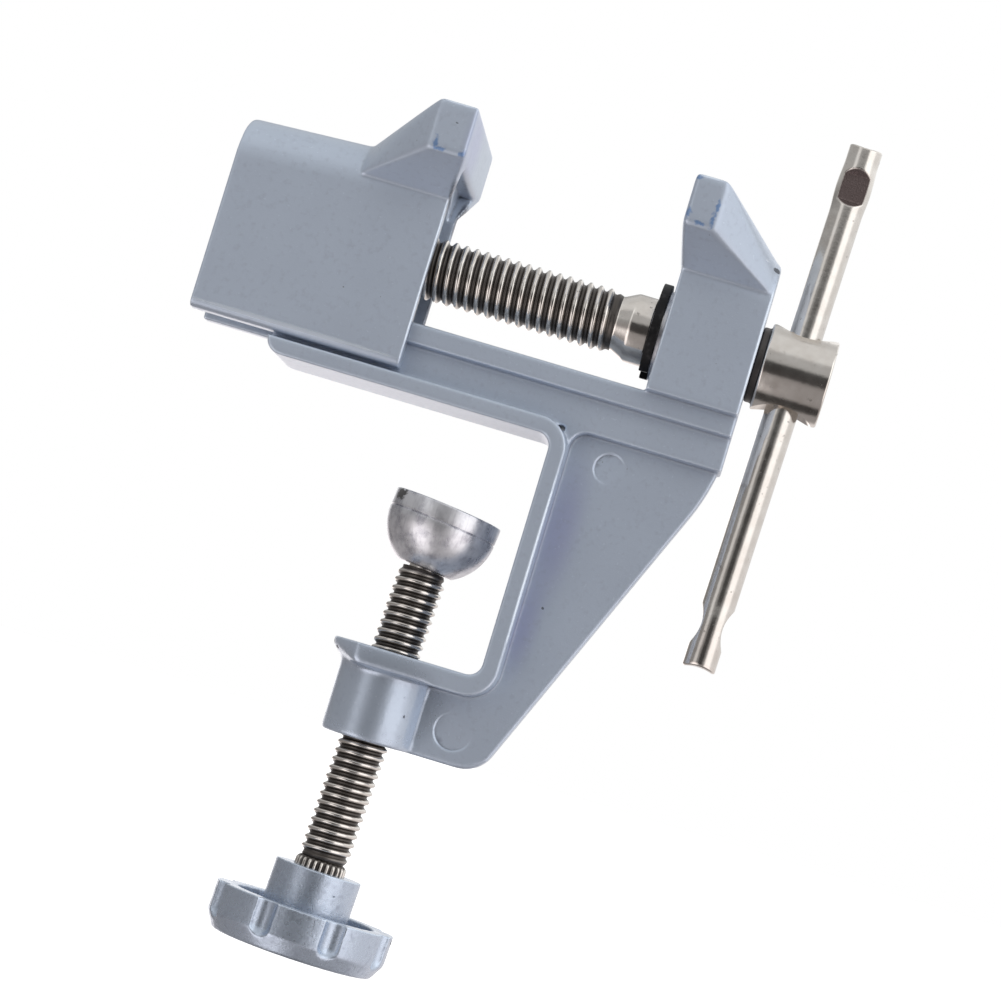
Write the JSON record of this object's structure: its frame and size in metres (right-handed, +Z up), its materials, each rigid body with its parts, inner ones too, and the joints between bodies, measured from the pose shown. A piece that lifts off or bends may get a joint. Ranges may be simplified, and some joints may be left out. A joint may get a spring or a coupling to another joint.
{
  "type": "clamp-on table vise",
  "caption": "Small cast bench vise that clamps to a table edge, with a sliding jaw on a rail, a main screw with a tommy bar, and a knob-driven clamp screw with a swivel pad.",
  "frame": {"origin": "on the table seat, the underside of the beam that rests on the table, over the middle of the clamp screw's boss", "axes": "+Z up, +X along the main screw towards its handle, +Y across the jaws"},
  "size_m": [0.0869, 0.03, 0.1302],
  "materials": {
    "casting": "satin, as die cast and barrel finished",
    "plated_steel": "bright nickel plating",
    "pressed_steel": "bright nickel plating over pressed sheet",
    "black_steel": "black oxide"
  },
  "bodies": {
    "frame": {"frame": "casting"},
    "moving_jaw": {"moving_jaw": "casting"},
    "main_screw": {"main_screw": "plated_steel", "retaining_ring": "black_steel", "ring_washer": "plated_steel"},
    "handle_bar": {"handle_bar": "plated_steel"},
    "pad_clip": {"pad_clip": "black_steel"},
    "clamp_screw": {"clamp_screw": "plated_steel", "clamp_knob": "casting"},
    "swivel_pad": {"swivel_pad": "pressed_steel"}
  },
  "joints": [
    {"name": "screw_turn", "type": "hinge", "parent": "frame", "child": "main_screw", "pos_m": [0, 0, 0.0183], "axis": [-1, 0, 0], "range_deg": [-359, 7270]},
    {"name": "jaw_slide", "type": "slide", "parent": "frame", "child": "moving_jaw", "axis": [1, 0, 0], "range_m": [-0.0015, 0.0303]},
    {"name": "bar_slide", "type": "slide", "parent": "main_screw", "child": "handle_bar", "axis": [0.0227, 0, 0.9997], "range_m": [-0.0195, 0.029]},
    {"name": "clamp_slide", "type": "slide", "parent": "frame", "child": "pad_clip", "axis": [0.0366, 0.0384, 0.9986], "range_m": [-0.0115, 0.0119]},
    {"name": "clamp_turn", "type": "hinge", "parent": "pad_clip", "child": "clamp_screw", "pos_m": [0, 0, -0.04075], "axis": [0.0366, 0.0384, 0.9986], "range_deg": [-3310, 3415]},
    {"name": "pad_tilt", "type": "hinge", "parent": "pad_clip", "child": "swivel_pad", "pos_m": [0.00071, 0.00075, -0.02126], "axis": [0, 1, 0], "range_deg": [-7.8, 0]}
  ],
  "couplings": [
    {"joint": "jaw_slide", "follows": "screw_turn", "m_per_rad": 0.00023873},
    {"joint": "clamp_slide", "follows": "clamp_turn", "m_per_rad": 0.00019894}
  ]
}
